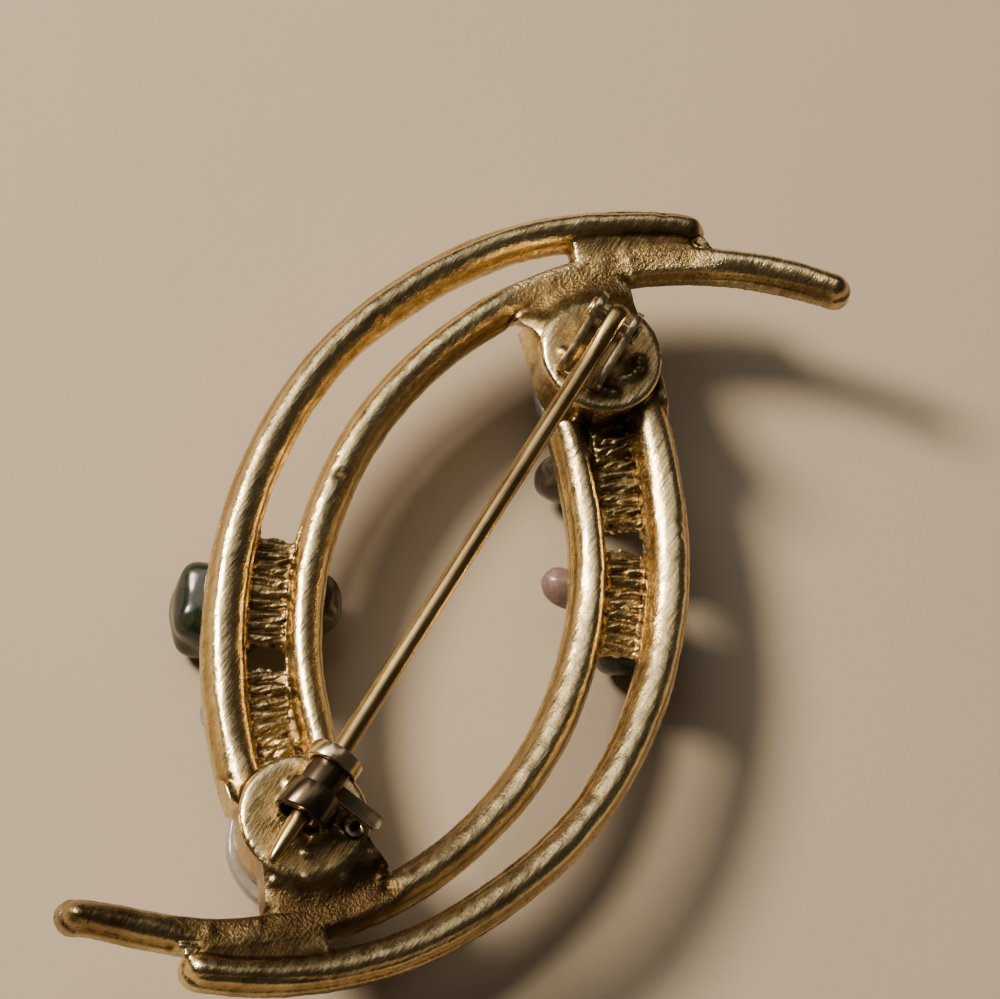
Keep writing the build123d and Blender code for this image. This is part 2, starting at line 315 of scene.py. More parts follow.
def makeCastMetal():
    material, tree, shader = newMaterial("castGold", Metallic=1.0)
    cavity = addNode(tree, "ShaderNodeAttribute", attribute_name="cavity").outputs["Fac"]
    filed = addNode(tree, "ShaderNodeAttribute", attribute_name="filed").outputs["Fac"]
    tarnishAndShade = addNode(tree, "ShaderNodeAttribute", attribute_name="tarnishAndShade").outputs["Fac"]
    marks = useGroup(tree, streaks, Turn=(0, 0, 0.08), Fineness=5200.0, Stretch=(1, 0.14, 0.5))
    crossed = useGroup(tree, streaks, Turn=(0, 0, -0.45), Fineness=7500.0, Stretch=(1, 0.22, 0.6))
    clouds = useGroup(tree, patches, Fineness=230.0, Low=0.48, High=0.72, Swirl=0.6)["Mask"]
    specks = useGroup(tree, patches, Fineness=2300.0, Low=0.55, High=0.7, Swirl=0.1)["Mask"]
    pits = useGroup(tree, patches, Fineness=4600.0, Low=0.35, High=0.65, Swirl=0.0)["Mask"]
    hollow = addRange(tree, cavity, *castFinish["hollow"])
    dirtAndShade = addMath(tree, "MULTIPLY", addMath(tree, "ADD", clouds, specks), castFinish["cloudDirt"])
    dirtAndShade = addMath(tree, "ADD", dirtAndShade, addMath(tree, "MULTIPLY", tarnishAndShade, castFinish["tarnishAndShadeShare"]))
    mottled = addMath(tree, "MULTIPLY", clouds, castFinish["filedClouds"])
    mottled = addMath(tree, "ADD", mottled, castFinish["filedDirt"])
    dirtAndShade = addMath(tree, "ADD", dirtAndShade, addMath(tree, "MULTIPLY", filed, mottled))
    dirtAndShade = addMath(tree, "MINIMUM", addMath(tree, "ADD", hollow, dirtAndShade), castFinish["mostDirtAndShade"])
    ridge = addRange(tree, cavity, *castFinish["ridge"])
    colour = addMix(tree, ridge, castFinish["gold"], castFinish["worn"])
    lines = addMath(tree, "MULTIPLY", marks["Shade"], castFinish["lines"])
    colour = addMix(tree, lines, colour, castFinish["tarnishAndShadeColour"])
    colour = addMix(tree, dirtAndShade, colour, castFinish["tarnishAndShadeColour"])
    feed(tree, shader.inputs["Base Color"], colour)
    rough = addMath(tree, "MULTIPLY", crossed["Shade"], castFinish["markedRougher"])
    rough = addMath(tree, "ADD", rough, castFinish["roughness"])
    rough = addMath(tree, "ADD", rough, addMath(tree, "MULTIPLY", dirtAndShade, castFinish["dirtyRougher"]))
    rough = addMath(tree, "ADD", rough, addMath(tree, "MULTIPLY", filed, castFinish["filedRougher"]))
    feed(tree, shader.inputs["Roughness"], rough)
    both = addMath(tree, "ADD", marks["Height"], addMath(tree, "MULTIPLY", crossed["Height"], 0.6))
    grainy = addMath(tree, "MULTIPLY", filed, castFinish["filedGrain"])
    grainy = addMath(tree, "ADD", grainy, castFinish["grain"])
    coarse = addMath(tree, "MULTIPLY", pits, grainy)
    addBump(tree, shader, addMath(tree, "ADD", both, coarse), castFinish["marks"])
    return material


polishedMarks = 0.012  # depth in mm


def makePolished(name, colour, dark, roughness, fineness):
    material, tree, shader = newMaterial(name, Metallic=1.0)
    tarnishAndShade = addNode(tree, "ShaderNodeAttribute", attribute_name="tarnishAndShade").outputs["Fac"]
    clouds = useGroup(tree, patches, Fineness=fineness, Low=0.42, High=0.7, Swirl=0.4)["Mask"]
    lines = useGroup(tree, streaks, Turn=(0, 0, 0.06), Fineness=5200.0, Stretch=(1, 0.06, 1))
    mixed = addMix(tree, clouds, colour, dark)
    # painted shade darkens the catch's far ring and sleeve barrel, which mirror a dark room
    feed(tree, shader.inputs["Base Color"], addMix(tree, tarnishAndShade, mixed, castFinish["paintedShade"]))
    spread = addMath(tree, "MULTIPLY", lines["Shade"], 0.12)
    feed(tree, shader.inputs["Roughness"], addMath(tree, "ADD", spread, roughness))
    addBump(tree, shader, lines["Height"], polishedMarks)
    return material


def makeStone(name, base, veins, roughness, fineness):
    material, tree, shader = newMaterial(name, Specular_IOR_Level=0.42)
    clouds = useGroup(tree, patches, Fineness=fineness, Low=0.48, High=0.66, Swirl=1.4)["Mask"]
    fine = useGroup(tree, patches, Fineness=fineness * 4, Low=0.45, High=0.7, Swirl=0.5)["Mask"]
    colour = addMix(tree, clouds, base, veins)
    mixed = addMix(tree, addMath(tree, "MULTIPLY", fine, 0.35), colour, veins)
    feed(tree, shader.inputs["Base Color"], mixed)
    spread = addMath(tree, "MULTIPLY", fine, 0.1)
    feed(tree, shader.inputs["Roughness"], addMath(tree, "ADD", spread, roughness))
    return material


glassFinish = {
    "clear": (0.40, 0.35, 0.30, 1),
    "hazy": (0.27, 0.235, 0.20, 1),
    "roughness": 0.14,
}


def makeClearGlass():
    material, tree, shader = newMaterial("clearGlass", Transmission_Weight=0.4, IOR=1.45, Metallic=0.0)
    haze = useGroup(tree, patches, Fineness=350.0, Low=0.4, High=0.7, Swirl=0.8)["Mask"]
    feed(tree, shader.inputs["Base Color"], addMix(tree, haze, glassFinish["clear"], glassFinish["hazy"]))
    spread = addMath(tree, "MULTIPLY", haze, 0.12)
    feed(tree, shader.inputs["Roughness"], addMath(tree, "ADD", spread, glassFinish["roughness"]))
    return material


polishedFinish = {
    # colour, colour of the clouds, roughness, fineness of the clouds
    "finding": ((0.76, 0.61, 0.36, 1), (0.44, 0.32, 0.16, 1), 0.18, 700.0),
    "pin": ((0.58, 0.42, 0.18, 1), (0.30, 0.20, 0.08, 1), 0.2, 240.0),
    "sleeve": ((0.72, 0.58, 0.33, 1), (0.42, 0.33, 0.17, 1), 0.28, 600.0),
}
castMetal = makeCastMetal()
findingMetal = makePolished("polishedFinding", *polishedFinish["finding"])
pinMetal = makePolished("pinWire", *polishedFinish["pin"])
sleeveMetal = makePolished("sleeve", *polishedFinish["sleeve"])
print("materials made")

# Cast frame: the CAD frame's shape, remeshed, with cast corners, file marks and dents

cast = {
    "voxel": 0.145,
    "halfLong": 33.0,
    "halfWide": 14.75,
    "rodLevel": 6.0,  # height of the rods' crease at the middle of the brooch
    "riseLong": 3.75,
    "riseWide": 2.0,
    "hollowGain": 9,  # turns a point's hollowness into a share
    "spreadRounds": 3,
    "spreadGain": 1.35,
    "cornerRounds": 34,  # passes that fill the corners round the bosses
    "cornerShare": 0.7,
    "castRounds": 3,  # passes that fill them elsewhere
    "castShare": 0.6,
    "edgeRounds": 1,
    "edgeShare": 0.5,
    "filedLevel": 0.9,  # top of the filed webs above the crease
    "filedReach": 2.3,
    "filedFade": 1.6,
    "filedWaves": 0.09,
    "filedAway": 0.9,  # share of the metal over that level that is filed away
    "filledUp": 0.55,  # share of the hollows under it that is filled
    "bossFade": (7.2, 5.0),  # from a boss's middle: where its share is 0, and where it is 1
    "padFade": (4.9, 4.2),  # the same for its pad
    "pitAt": (-0.07, 29.46),  # a pit beside the web that is filled
    "pitFade": (1.0, 0.6),
    "pitLevel": 0.6,
    "fillDown": -0.7,  # height from the crease under which nothing is filled or raised
    "crownFlat": 2.2,  # power of the rods' backs, where 2 is round
    "crownPower": 0.47,  # outer power of the same curve, where 0.5 is round
    "crownHigh": 0.98,
    "crownLean": 0.16,
    "crownOver": (0.05, 0.4),  # height over the crease, from unchanged to changed
    "crownFacing": (-0.1, 0.15),
    "crownEnd": 1.5,  # the change fades over this length before a rod's round end
    "creaseAt": 0.72,  # from the outer rod's centre line out to the crease near its free end
    "creaseWide": 0.13,
    "creaseDeep": 0.16,
    "creaseStart": (38.0, 43.0),  # along the rod, from no crease to a full one
    "ribPitch": 2.9,  # striations of the plates, to the millimetre
    "ribDeep": 0.14,
    "ribHeights": (-1.1, -0.25),  # heights from the crease between which there are striations
    "ragged": 0.3,
    "raggedReach": 1.25,
    "raggedHeights": (-2.4, -0.2),
    "raggedFacing": 0.75,
    "plateReach": 1.7,
    "plateHeights": (-1.3, -0.15),
    "plateFiled": 0.4,  # how much of the filed look the plates get
    "rampFoot": 6.1,  # from a boss's middle to the foot of the smooth ramp up to its pad
    "rampTop": 3.75,
    "rampInner": 3.2,
    "rampLow": 0.8,  # height of its foot over the crease
    "rampWaves": 0.06,
    "rampWay": (-0.42, 0.91),  # the side of a boss that the ramp is on
    "rampFacing": (-0.35, 0.15),
    "rampSpread": 2,
    "rampGain": 1.3,
    "rampRounds": 12,
    "rampShare": 0.7,
    "plainShare": 0.4,
    "flare": 1.8,  # how far the skirt of a boss stands out beside its web
    "flareEnd": 34,  # degrees round the boss at which the skirt has died away
    "flareFade": 24,
    "flareStart": (-4, 8),
    "flareInner": (3.1, 3.6),
    "flareOuter": (5.9, 4.8),
    "flareTop": 1.9,  # the skirt grows to its full width over this height under the pad
    "flareFoot": (3.8, 3.4),  # it starts at the first level, and grows over the second height
    "cavityRounds": 24,
    "cavityGain": 6,
    "tarnishAndShadeFade": (1.25, 0.5),
    "swell": 0.05,  # slow waves of the cast surface
    "lumps": 0.03,
    "grain": 0.02,
    "parting": -0.25,  # the frame is built in two halves that meet here
}
# Centre lines of a pair of rods, as shares of the half width and the half length
outerRoute = [
    (-0.14, -0.59), (-0.50, -0.43), (-0.755, -0.26), (-0.915, -0.09), (-1.0, 0.094), (-1.0, 0.282),
    (-0.90, 0.467), (-0.725, 0.642), (-0.47, 0.785), (-0.088, 0.912), (0.0, 0.93),
]
innerRoute = [
    (0.03, -0.44), (-0.23, -0.327), (-0.468, -0.182), (-0.624, -0.014), (-0.70, 0.17), (-0.68, 0.348),
    (-0.576, 0.524), (-0.38, 0.688), (-0.06, 0.84), (0.25, 0.925), (0.55, 0.97),
]
# Lines in millimetres that the filed webs and the ribbed plates follow
filedLine = [(-7.3, 20.0), (-4.9, 22.9), (-2.2, 25.6), (0.5, 27.9)]
plateLines = [[(-2.3, -17.2), (-6.63, -11.23)], [(-7.51, -9.77), (-10.69, -3.5)]]
dents = [
    # x, y, reach, depth, which is below zero for a burr
    (-9.95, 1.9, 0.45, 0.14),
    (9.35, 12.9, 0.4, 0.12),
    (9.9, 12.1, 0.3, 0.1),
    (-13.6, 12.0, 0.35, 0.07),
    (12.9, -9.0, 0.4, 0.07),
    (-3.2, 29.6, 0.3, 0.08),
    (-3.2, 25.7, 0.2, -0.1),
    (-2.5, 25.0, 0.2, -0.14),
    (-2.5, 24.4, 0.16, -0.12),
    (1.65, -24.8, 0.25, -0.14),
    (2.5, -25.7, 0.2, -0.12),
    (1.8, -23.1, 0.25, -0.16),
    (0.45, -28.0, 0.3, -0.12),
    (5.0, -20.3, 0.25, -0.16),
    (3.2, -21.9, 0.3, -0.16),
    (5.6, -18.0, 0.3, -0.2),
    (6.8, -18.7, 0.3, -0.22),
    (7.4, -19.0, 0.3, 0.2),
    (6.2, -18.1, 0.3, 0.25),
    (1.1, 19.9, 0.28, -0.32),
    (1.45, 19.25, 0.3, -0.42),
    (1.3, 18.5, 0.28, -0.3),
    (0.9, 18.0, 0.3, -0.12),
    (1.1, 16.9, 0.3, -0.2),
    (0.5, 16.55, 0.35, -0.3),
    (-0.3, 16.5, 0.4, -0.34),
    (-1.1, 16.3, 0.3, -0.24),
    (-3.1, 17.2, 0.3, -0.18),
    (2.5, -17.3, 0.45, -0.35),
    (2.8, -18.2, 0.4, -0.3),
    (2.3, -19.2, 0.4, -0.28),
    (3.5, -18.3, 0.3, -0.25),
    (-0.8, -17.6, 0.35, -0.3),
    (-0.6, -18.7, 0.3, -0.22),
    (1.3, -20.3, 0.35, -0.2),
    (2.4, -20.6, 0.3, -0.18),
]
# places darkened on the cast metal: partly tarnish, partly painted shade between parts, in recesses and
# where the metal mirrors a dark room
tarnishAndShadePlaces = [
    # x, y, reach, strength
    (3.6, -18.6, 2.6, 0.75),
    (6.8, -20.0, 3.2, 0.7),
    (3.0, -26.5, 4.5, 0.75),
    (-2.5, -27.5, 4.0, 0.65),
    (7.5, -25.0, 5.0, 0.6),
    (12.0, -17.0, 6.0, 0.4),
    (-7.0, -31.5, 6.5, 0.88),
    (-3.5, 32.0, 5.0, 0.5),
    (9.0, 31.8, 5.0, 0.45),
    (-2.0, 29.4, 2.6, 0.5),
    (0.2, 16.6, 1.5, 0.85),
    (1.35, 19.2, 0.95, 0.7),
    (-1.5, 19.1, 1.7, 0.75),
    (1.2, -18.6, 1.6, 0.75),
    (1.0, 13.4, 2.6, 0.35),
    (-4.2, 27.4, 0.9, 0.7),
    (-2.6, 28.7, 1.0, 0.9),
    (-1.2, 29.6, 1.0, 0.95),
    (0.3, 30.3, 1.0, 0.9),
    (-10.4, -4.3, 1.2, 0.8),
    (-7.2, -9.5, 0.9, 0.7),
    (-5.7, -11.6, 0.9, 0.7),
    (3.6, 15.9, 1.7, 0.4),
    (7.3, 10.3, 0.9, 0.8),
    (7.9, 9.2, 0.8, 0.6),
    (11.6, 2.4, 1.3, 0.7),
]


def between(values, limits):
    return (values > limits[0]) * (values < limits[1])


def creaseLevel(points):
    # the frame is a shallow bowl, so the rods' crease rises towards its ends and sides
    along = (points[:, 1] / cast["halfLong"]) ** 2 * cast["riseLong"]
    return cast["rodLevel"] + along + (points[:, 0] / cast["halfWide"]) ** 2 * cast["riseWide"]


def smoothRoute(knots, steps=14):
    # a smooth line through the knots
    padded = [2 * knots[0] - knots[1], *knots, 2 * knots[-1] - knots[-2]]
    line = []
    for a, b, c, d in zip(padded, padded[1:], padded[2:], padded[3:]):
        for step in range(steps):
            t = step / steps
            square = (2 * a - 5 * b + 4 * c - d) * t**2
            cube = (3 * b - a - 3 * c + d) * t**3
            line.append(0.5 * (2 * b + (c - a) * t + square + cube))
    return np.array(line)


def offsetFrom(points, line):
    # distance sideways from a line, positive on its left, and how far along it a point is;
    # the left of a rod's line is its outer side
    best = np.full(len(points), 99.0)
    side = np.zeros(len(points))
    along = np.zeros(len(points))
    travelled = 0.0
    for first, second in zip(line, line[1:]):
        run = second - first
        length = np.hypot(*run)
        near = points[:, :2] - first
        share = np.clip(near @ run / length**2, 0, 1)
        away = near - share[:, None] * run
        gap = np.hypot(away[:, 0], away[:, 1])
        turn = run[0] * near[:, 1] - run[1] * near[:, 0]
        closer = gap < best
        best = np.where(closer, gap, best)
        side = np.where(closer, np.sign(turn), side)
        along = np.where(closer, travelled + share * length, along)
        travelled += length
    return best * side, along


def ease(values, low, high):
    share = np.clip((values - low) / (high - low), 0, 1)
    return share * share * (3 - 2 * share)


def splitFindings(bm):
    # parts the hinge bracket and the catch from the cast metal just above the pads
    level = place["padLevel"] + place["cutAbove"]
    pads = [Vector(place["upperPad"]), Vector(place["lowerPad"])]

    def near(point):
        return min((point.xy - pad).length for pad in pads) < place["padReach"]

    geometry = [f for f in bm.faces if near(f.calc_center_median())]
    edges = {e for f in geometry for e in f.edges}
    verts = {v for f in geometry for v in f.verts}
    bmesh.ops.bisect_plane(
        bm, geom=[*verts, *edges, *geometry], plane_co=(0, 0, level), plane_no=(0, 0, 1), dist=1e-5
    )
    findings = bm.copy()
    for mesh, keepAbove in ((bm, False), (findings, True)):
        doomed = []
        for face in mesh.faces:
            centre = face.calc_center_median()
            above = centre.z > level and near(centre)
            if above != keepAbove:
                doomed.append(face)
        bmesh.ops.delete(mesh, geom=doomed, context="FACES")
        loose = [v for v in mesh.verts if not v.link_faces]
        bmesh.ops.delete(mesh, geom=loose, context="VERTS")
        rims = [e for e in mesh.edges if e.is_boundary]
        bmesh.ops.holes_fill(mesh, edges=rims, sides=0)
        bmesh.ops.recalc_face_normals(mesh, faces=mesh.faces)
    return findings


def bothHalves(points, measure):
    # a measure of one half of the brooch, and the same of the other half by a half turn
    return measure(points), measure(points * (-1, -1, 1))


def roundShare(points, middle, outer, inner):
    # 1 round a place and its turned copy, 0 beyond the outer reach
    def one(where):
        return ease(np.hypot(where[:, 0] - middle[0], where[:, 1] - middle[1]), outer, inner)

    return np.maximum(*bothHalves(points, one))


def bossShare(points):
    # 1 on and close round a boss
    return roundShare(points, place["upperPad"], *cast["bossFade"])


def filedShare(points):
    # 1 on a filed web, 0 away from it
    line = np.array(filedLine)

    def one(where):
        side, _ = offsetFrom(where, line)
        return ease(np.abs(side), cast["filedReach"], cast["filedReach"] - cast["filedFade"])

    return np.maximum(*bothHalves(points, one))


def fileWebs(points, level):
    # the webs that join the rods are filed to one level, and their pits are filled
    height = points[:, 2] - level
    boss = roundShare(points, place["upperPad"], *cast["padFade"])
    share = filedShare(points) * (1 - boss)
    top = cast["filedLevel"] + noiseAt(points, 0.6, 21.0) * cast["filedWaves"]
    over = np.clip(height - top, 0, None)
    under = np.clip(top - height, 0, 0.5) * (height > 0.25)
    points[:, 2] -= share * (over * cast["filedAway"] - under * cast["filledUp"])
    pit = roundShare(points, cast["pitAt"], *cast["pitFade"])
    points[:, 2] += pit * (height > cast["fillDown"]) * np.clip(cast["pitLevel"] - height, 0, 1.3)
    return share


def shapeCrowns(points, normals, level, filed):
    # the rods' backs are a little flat and lean inward, as the whole frame is a shallow bowl
    height = points[:, 2] - level
    reaches = (cast["halfWide"], cast["halfLong"])
    lines = [smoothRoute(np.array(route) * reaches) for route in (outerRoute, innerRoute)]

    def one(where):
        found = np.zeros(len(where))
        for line in lines:
            side, along = offsetFrom(where, line)
            length = np.hypot(*np.diff(line, axis=0).T).sum()
            share = np.clip(side, -1, 1)
            circle = np.sqrt(1 - share**2)
            flat = (1 - np.abs(share) ** cast["crownFlat"]) ** cast["crownPower"] * cast["crownHigh"]
            change = flat - circle + cast["crownLean"] * share * circle
            change *= ease(along, 0, cast["crownEnd"]) * ease(length - along, 0, cast["crownEnd"])
            found = np.where(np.abs(side) < 1, change, found)
        return found

    change = sum(bothHalves(points, one)) * (1 - filed) * (1 - bossShare(points))
    points[:, 2] += change * ease(height, *cast["crownOver"]) * ease(normals[:, 2], *cast["crownFacing"])


def creaseRods(points, normals, level, filed):
    # a shallow crease runs along the outer rod's outer side near its free end
    line = smoothRoute(np.array(outerRoute) * (cast["halfWide"], cast["halfLong"]))
    height = points[:, 2] - level

    def one(where):
        side, along = offsetFrom(where, line)
        groove = np.exp(-(((side - cast["creaseAt"]) / cast["creaseWide"]) ** 2))
        return groove * ease(along, *cast["creaseStart"])

    uneven = 0.8 + 0.5 * noiseAt(points, 0.35, 31.0)
    groove = np.maximum(*bothHalves(points, one)) * (height > -0.1) * (1 - filed) * uneven
    points[:, 2] -= groove * cast["creaseDeep"] * np.clip(normals[:, 2] + 0.3, 0, 1)


def rampBosses(points, level):
    # the gusset's metal rises smoothly to the pad's rim
    height = points[:, 2] - level

    def one(where):
        x = where[:, 0] - place["upperPad"][0]
        y = where[:, 1] - place["upperPad"][1]
        reach = np.hypot(x, y)
        facing = (cast["rampWay"][0] * x + cast["rampWay"][1] * y) / np.maximum(reach, 0.1)
        share = np.clip((cast["rampFoot"] - reach) / (cast["rampFoot"] - cast["rampTop"]), 0, 1)
        share = share * ease(facing, *cast["rampFacing"])
        return share * (reach < cast["rampFoot"]) * (reach > cast["rampInner"])

    share = np.maximum(*bothHalves(points, one))
    share = share * share * (1.6 - 0.6 * share)
    top = place["padLevel"] - 0.03 + noiseAt(points, 0.9, 51.0) * cast["rampWaves"]
    low = level + cast["rampLow"]
    target = low + (top - low) * share
    raised = (share > 0) * (height > cast["fillDown"]) * (points[:, 2] < target)
    points[:, 2] = np.where(raised, target, points[:, 2])
    return raised.astype(float)


def flareBosses(points):
    # beside its web a boss has a skirt: narrow at the pad, widest at the web's level
    pad = place["padLevel"]
    foot, grown = cast["flareFoot"]
    for turn in (1, -1):
        x = points[:, 0] * turn - place["upperPad"][0]
        y = points[:, 1] * turn - place["upperPad"][1]
        reach = np.maximum(np.hypot(x, y), 0.1)
        angle = np.degrees(np.arctan2(-y, -x))
        share = np.clip((cast["flareEnd"] - angle) / cast["flareFade"], 0, 1)
        share *= ease(angle, *cast["flareStart"])
        share *= ease(reach, *cast["flareInner"]) * ease(reach, *cast["flareOuter"])
        share *= np.clip((pad - 0.05 - points[:, 2]) / cast["flareTop"], 0, 1)
        share *= np.clip((points[:, 2] - foot) / grown, 0, 1)
        points[:, 0] += turn * share * cast["flare"] * x / reach
        points[:, 1] += turn * share * cast["flare"] * y / reach


def platePlace(points):
    # for each point of a plate: across and along the plate
    def one(where):
        across = np.full(len(where), 99.0)
        along = np.zeros(len(where))
        for ends in plateLines:
            side, travelled = offsetFrom(where, np.array(ends))
            closer = np.abs(side) < np.abs(across)
            across = np.where(closer, side, across)
            along = np.where(closer, travelled, along)
        return across, along

    first, second = bothHalves(points, one)
    nearer = np.abs(first[0]) < np.abs(second[0])
    return np.where(nearer, first[0], second[0]), np.where(nearer, first[1], second[1])


def refinePlates(obj):
    # the ribbed plates get a finer mesh than the rest
    middles = np.empty(len(obj.data.polygons) * 3)
    obj.data.polygons.foreach_get("center", middles)
    middles = middles.reshape(-1, 3)
    height = middles[:, 2] - creaseLevel(middles)
    across, _ = platePlace(middles)
    chosen = (np.abs(across) < cast["plateReach"]) * between(height, cast["plateHeights"])
    bm = bmesh.new()
    bm.from_mesh(obj.data)
    bm.faces.ensure_lookup_table()
    edges = {edge for index in np.nonzero(chosen)[0] for edge in bm.faces[index].edges}
    bmesh.ops.subdivide_edges(bm, edges=list(edges), cuts=1, use_grid_fill=True)
    bm.to_mesh(obj.data)
    bm.free()


def ribPlates(points, normals, level):
    # striations across the sunk plates, and torn edges at their ends
    height = points[:, 2] - level
    across, along = platePlace(points)
    bent = along + 0.35 * across + noiseAt(points, 0.4, 61.0) * 0.6
    slant = np.stack((across * 0.45, bent * cast["ribPitch"], along * 0), axis=1)
    ridges = noiseAt(slant, 1.0, 3.0) + 0.45 * noiseAt(slant, 2.1, 7.0)
    waves = noiseAt(slant * (0.7, 0.28, 1), 1.0, 9.0) * 0.26
    onStrip = np.abs(across) < cast["plateReach"]
    onPlate = between(height, cast["ribHeights"]) * ease(normals[:, 2], 0.2, 0.6)
    ends = (np.abs(across) < cast["raggedReach"]) * between(height, cast["raggedHeights"])
    ends = ends * (np.abs(normals[:, 2]) < cast["raggedFacing"])
    torn = noiseAt(points, 1.1, 43.0) + 0.6 * noiseAt(points, 2.6, 47.0)
    points += normals * (ends * torn * cast["ragged"])[:, None]
    points[:, 2] += onPlate * onStrip * (ridges * cast["ribDeep"] + waves)
    return onPlate


def halves(whole, names):
    # the two halves keep the whole frame's normals, so that no seam shows
    made = []
    normals = normalsOf(whole.data)
    middles = np.empty(len(whole.data.polygons) * 3)
    whole.data.polygons.foreach_get("center", middles)
    lower = middles.reshape(-1, 3)[:, 1] < cast["parting"]
    for name, keep in zip(names, (lower, ~lower)):
        bm = bmesh.new()
        bm.from_mesh(whole.data)
        layer = bm.verts.layers.int.new("source")
        for index, vert in enumerate(bm.verts):
            vert[layer] = index
        bm.faces.ensure_lookup_table()
        bmesh.ops.delete(bm, geom=[f for f, kept in zip(bm.faces, keep) if not kept], context="FACES")
        half = addObject(name, bm)
        source = np.empty(len(half.data.vertices), dtype=np.int32)
        half.data.attributes["source"].data.foreach_get("value", source)
        half.data.attributes.remove(half.data.attributes["source"])
        made.append((half, normals[source]))
    mesh = whole.data
    bpy.data.objects.remove(whole)
    bpy.data.meshes.remove(mesh)
    return made


def fillCorners(points, normals, mean):
    # inner corners are filled as in a casting, most of all round the bosses
    hollow = ((mean(points) - points) * normals).sum(1) / cast["voxel"]
    inner = np.clip(hollow * cast["hollowGain"], 0, 1)
    for _ in range(cast["spreadRounds"]):
        inner = np.clip(mean(inner) * cast["spreadGain"], 0, 1)
    byBoss = bossShare(points) * inner
    for turn in range(cast["cornerRounds"]):
        share = inner * cast["castShare"] if turn < cast["castRounds"] else byBoss * cast["cornerShare"]
        points = points + (mean(points) - points) * share[:, None]
    for _ in range(cast["edgeRounds"]):
        points = points + (mean(points) - points) * cast["edgeShare"]
    return points


def roughenSurface(points, normals, filed):
    # slow waves, lumps and brush marks, then the dents and burrs
    raised = noiseAt(points, 0.28) * cast["swell"] + noiseAt(points, 0.9, 5.0) * cast["lumps"]
    brushed = points * (1.0, 0.3, 0.7)
    raised += noiseAt(brushed, 3.4, 11.0) * cast["grain"] * (1 - 0.6 * filed)
    for x, y, reach, depth in dents:
        away = np.hypot(points[:, 0] - x, points[:, 1] - y) / reach
        raised -= depth * np.exp(-(away**2)) * (normals[:, 2] > 0.1)
    return points + normals * raised[:, None]


def storeWearAndShade(mesh, points, mean, filed, plates):
    # what the cast metal's material reads: hollows and edges, tarnish mixed with painted shade, and filed
    # metal
    smooth = points.copy()
    for _ in range(cast["cavityRounds"]):
        smooth = mean(smooth)
    cavity = ((smooth - points) * normalsOf(mesh)).sum(1)
    storeValue(mesh, "cavity", np.clip(mean(cavity) * cast["cavityGain"], -1, 1))
    tarnishAndShadeValues = np.zeros(len(points))
    # darkening: real tarnish in part, and painted shade in part
    for x, y, reach, strength in tarnishAndShadePlaces:
        away = np.hypot(points[:, 0] - x, points[:, 1] - y) / reach
        tarnishAndShadeValues = np.maximum(tarnishAndShadeValues, strength * ease(away, *cast["tarnishAndShadeFade"]))
    storeValue(mesh, "tarnishAndShade", np.clip(tarnishAndShadeValues + noiseAt(points, 0.5, 81.0) * 0.5 * tarnishAndShadeValues, 0, 1))
    storeValue(mesh, "filed", np.maximum(filed, cast["plateFiled"] * plates))


def shapeCast(obj):
    mesh = obj.data
    mean = neighbourMeans(mesh)
    points = fillCorners(pointsOf(mesh), normalsOf(mesh), mean)
    setPoints(mesh, points)
    normals = normalsOf(mesh)
    level = creaseLevel(points)
    filed = fileWebs(points, level)
    shapeCrowns(points, normals, level, filed)
    creaseRods(points, normals, level, filed)
    plates = ribPlates(points, normals, level)
    ramps = rampBosses(points, level)
    flareBosses(points)
    for _ in range(cast["rampSpread"]):
        ramps = np.clip(mean(ramps) * cast["rampGain"], 0, 1)
    for turn in range(cast["rampRounds"]):
        share = ramps if turn else np.maximum(ramps, cast["plainShare"] * (1 - plates))
        points = points + (mean(points) - points) * share[:, None] * cast["rampShare"]
    setPoints(mesh, points)
    points = roughenSurface(points, normalsOf(mesh), filed)
    setPoints(mesh, points)
    storeWearAndShade(mesh, points, mean, filed, plates)


castShape = meshFromNode("frame")
findingsShape = splitFindings(castShape)
castWhole = addObject("castWhole", castShape)
remesh(castWhole, cast["voxel"])
refinePlates(castWhole)
shapeCast(castWhole)
for half, keptNormals in halves(castWhole, ("castLower", "castUpper")):
    finishPiece(half, "brooch", castMetal, ["frame"])
    half.data.normals_split_custom_set_from_vertices(keptNormals)
    print(half.name, len(half.data.polygons))

# Findings: hinge bracket, catch housing and eyelet, with softened edges

findings = {
    "edge": 0.1,
    "rivetEdge": 0.12,
    "bevelOver": 38,  # only corners sharper than this many degrees are softened
    "flat": 3.0,  # faces that meet at fewer degrees than this are joined
    "rim": 0.24,
    "leverDeep": 0.12,
    "leverTurn": -16,  # degrees from the rivet's line to the lever
    "broad": 2.0,  # the lever's broad faces are larger than this
    "farRing": (37.7, 38.2),  # along the pin: where the painted shade begins and where it is full
    "barrel": (1.7, 1.3),  # the same on the sleeve, out from the pin's line
    # strength of that painted shade
    "paintedShade": 0.95,
}


def shadeCatch(obj, low, high, radial):
    # painted shade on the catch's far ring, or on the barrel of its sleeve, standing in for the dark room
    # the polished metal mirrors
    turn = np.array(pinFrame().inverted())
    local = pointsOf(obj.data) @ turn[:3, :3].T + turn[:3, 3]
    way = np.hypot(local[:, 0], local[:, 2]) if radial else -local[:, 1]
    storeValue(obj.data, "tarnishAndShade", findings["paintedShade"] * ease(way, low, high))


def softenEdges(obj, width):
    bevel = obj.modifiers.new("edges", "BEVEL")
    bevel.width = width
    bevel.segments = 2
    bevel.limit_method = "ANGLE"
    bevel.angle_limit = math.radians(findings["bevelOver"])
    bevel.harden_normals = True
    applyModifiers(obj)


def tidyFaces(bm, angle):
    bmesh.ops.dissolve_limit(bm, angle_limit=math.radians(angle), verts=bm.verts, edges=bm.edges)
    return bm


